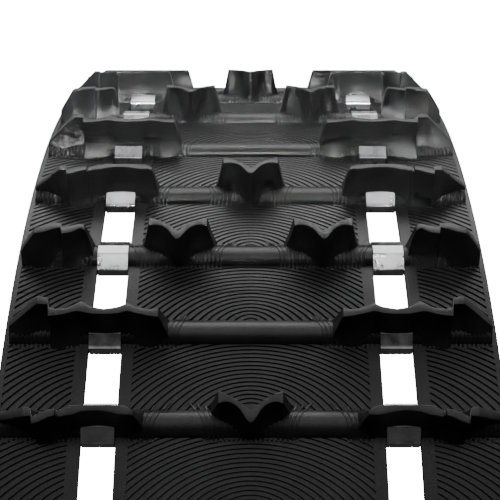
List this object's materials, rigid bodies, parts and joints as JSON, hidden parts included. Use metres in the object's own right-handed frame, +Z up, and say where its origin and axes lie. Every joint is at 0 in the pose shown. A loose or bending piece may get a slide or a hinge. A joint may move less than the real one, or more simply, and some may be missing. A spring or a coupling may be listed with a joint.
{
  "type": "snowmobile track",
  "caption": "Endless moulded rubber drive track with lug rows, two window columns, steel clips and cross rods, standing as an oval hoop.",
  "frame": {"origin": "middle of the loop's footprint, at the level of the lowest lug tips", "axes": "+Z up, X across the belt's width, -Y the front of the loop; a row of lugs points straight out at the front and at the back"},
  "size_m": [0.381, 0.9788, 1.2217],
  "materials": {
    "rubber": "moulded black rubber, soft satin on the raised bars, finely ribbed webs",
    "clip_steel": "bright zinc-plated stamped steel, lightly scuffed"
  },
  "bodies": {
    "belt_link_01": {"belt_section_01": "rubber", "cross_rod_with_clips_01": "clip_steel", "cross_rod_with_clips_02": "clip_steel", "cross_rod_with_clips_03": "clip_steel"},
    "belt_link_02": {"belt_section_02": "rubber", "cross_rod_with_clips_04": "clip_steel", "cross_rod_with_clips_05": "clip_steel", "cross_rod_with_clips_06": "clip_steel"},
    "belt_link_03": {"belt_section_03": "rubber", "cross_rod_with_clips_07": "clip_steel", "cross_rod_with_clips_08": "clip_steel", "cross_rod_with_clips_09": "clip_steel"},
    "belt_link_04": {"belt_section_04": "rubber", "cross_rod_with_clips_10": "clip_steel", "cross_rod_with_clips_11": "clip_steel", "cross_rod_with_clips_12": "clip_steel"},
    "belt_link_05": {"belt_section_05": "rubber", "cross_rod_with_clips_13": "clip_steel", "cross_rod_with_clips_14": "clip_steel", "cross_rod_with_clips_15": "clip_steel"},
    "belt_link_06": {"belt_section_06": "rubber", "cross_rod_with_clips_16": "clip_steel", "cross_rod_with_clips_17": "clip_steel", "cross_rod_with_clips_18": "clip_steel"},
    "belt_link_07": {"belt_section_07": "rubber", "cross_rod_with_clips_19": "clip_steel", "cross_rod_with_clips_20": "clip_steel", "cross_rod_with_clips_21": "clip_steel"},
    "belt_link_08": {"belt_section_08": "rubber", "cross_rod_with_clips_22": "clip_steel", "cross_rod_with_clips_23": "clip_steel", "cross_rod_with_clips_24": "clip_steel"},
    "belt_link_09": {"belt_section_09": "rubber", "cross_rod_with_clips_25": "clip_steel", "cross_rod_with_clips_26": "clip_steel", "cross_rod_with_clips_27": "clip_steel"},
    "belt_link_10": {"belt_section_10": "rubber", "cross_rod_with_clips_28": "clip_steel", "cross_rod_with_clips_29": "clip_steel", "cross_rod_with_clips_30": "clip_steel"},
    "belt_link_11": {"belt_section_11": "rubber", "cross_rod_with_clips_31": "clip_steel", "cross_rod_with_clips_32": "clip_steel", "cross_rod_with_clips_33": "clip_steel"},
    "belt_link_12": {"belt_section_12": "rubber", "cross_rod_with_clips_34": "clip_steel", "cross_rod_with_clips_35": "clip_steel", "cross_rod_with_clips_36": "clip_steel"},
    "belt_link_13": {"belt_section_13": "rubber", "cross_rod_with_clips_37": "clip_steel", "cross_rod_with_clips_38": "clip_steel", "cross_rod_with_clips_39": "clip_steel"},
    "belt_link_14": {"belt_section_14": "rubber", "cross_rod_with_clips_40": "clip_steel", "cross_rod_with_clips_41": "clip_steel", "cross_rod_with_clips_42": "clip_steel"}
  },
  "joints": [
    {"name": "belt_flex_07", "type": "hinge", "parent": "belt_link_07", "child": "belt_link_08", "pos_m": [0, 0, 0.02313], "axis": [1, 0, 0], "range_deg": [-18, 22], "stiffness_Nm_per_rad": 4000},
    {"name": "belt_flex_08", "type": "hinge", "parent": "belt_link_08", "child": "belt_link_09", "pos_m": [0, 0.20576, 0.11995], "axis": [1, 0, 0], "range_deg": [-4, 4]},
    {"name": "belt_flex_09", "type": "hinge", "parent": "belt_link_09", "child": "belt_link_10", "pos_m": [0, 0.36142, 0.28572], "axis": [1, 0, 0], "range_deg": [-4, 4]},
    {"name": "belt_flex_10", "type": "hinge", "parent": "belt_link_10", "child": "belt_link_11", "pos_m": [0, 0.44513, 0.49715], "axis": [1, 0, 0], "range_deg": [-4, 4]},
    {"name": "belt_flex_11", "type": "hinge", "parent": "belt_link_11", "child": "belt_link_12", "pos_m": [0, 0.44513, 0.72454], "axis": [1, 0, 0], "range_deg": [-4, 4]},
    {"name": "belt_flex_12", "type": "hinge", "parent": "belt_link_12", "child": "belt_link_13", "pos_m": [0, 0.36142, 0.93598], "axis": [1, 0, 0], "range_deg": [-4, 4]},
    {"name": "belt_flex_13", "type": "hinge", "parent": "belt_link_13", "child": "belt_link_14", "pos_m": [0, 0.20576, 1.10174], "axis": [1, 0, 0], "range_deg": [-4, 4]},
    {"name": "belt_flex_06", "type": "hinge", "parent": "belt_link_07", "child": "belt_link_06", "pos_m": [0, -0.20576, 0.11995], "axis": [-1, 0, 0], "range_deg": [-4, 4]},
    {"name": "belt_flex_05", "type": "hinge", "parent": "belt_link_06", "child": "belt_link_05", "pos_m": [0, -0.36142, 0.28572], "axis": [-1, 0, 0], "range_deg": [-4, 4]},
    {"name": "belt_flex_04", "type": "hinge", "parent": "belt_link_05", "child": "belt_link_04", "pos_m": [0, -0.44513, 0.49715], "axis": [-1, 0, 0], "range_deg": [-4, 4]},
    {"name": "belt_flex_03", "type": "hinge", "parent": "belt_link_04", "child": "belt_link_03", "pos_m": [0, -0.44513, 0.72454], "axis": [-1, 0, 0], "range_deg": [-4, 4]},
    {"name": "belt_flex_02", "type": "hinge", "parent": "belt_link_03", "child": "belt_link_02", "pos_m": [0, -0.36142, 0.93598], "axis": [-1, 0, 0], "range_deg": [-4, 4]},
    {"name": "belt_flex_01", "type": "hinge", "parent": "belt_link_02", "child": "belt_link_01", "pos_m": [0, -0.20576, 1.10174], "axis": [-1, 0, 0], "range_deg": [-4, 4]}
  ],
  "couplings": [
    {"joint": "belt_flex_08", "follows": "belt_flex_07", "ratio": -0.16667},
    {"joint": "belt_flex_09", "follows": "belt_flex_07", "ratio": -0.16667},
    {"joint": "belt_flex_10", "follows": "belt_flex_07", "ratio": -0.16667},
    {"joint": "belt_flex_11", "follows": "belt_flex_07", "ratio": -0.16667},
    {"joint": "belt_flex_12", "follows": "belt_flex_07", "ratio": -0.16667},
    {"joint": "belt_flex_13", "follows": "belt_flex_07", "ratio": -0.16667},
    {"joint": "belt_flex_06", "follows": "belt_flex_07", "ratio": -0.16667},
    {"joint": "belt_flex_05", "follows": "belt_flex_07", "ratio": -0.16667},
    {"joint": "belt_flex_04", "follows": "belt_flex_07", "ratio": -0.16667},
    {"joint": "belt_flex_03", "follows": "belt_flex_07", "ratio": -0.16667},
    {"joint": "belt_flex_02", "follows": "belt_flex_07", "ratio": -0.16667},
    {"joint": "belt_flex_01", "follows": "belt_flex_07", "ratio": -0.16667}
  ]
}
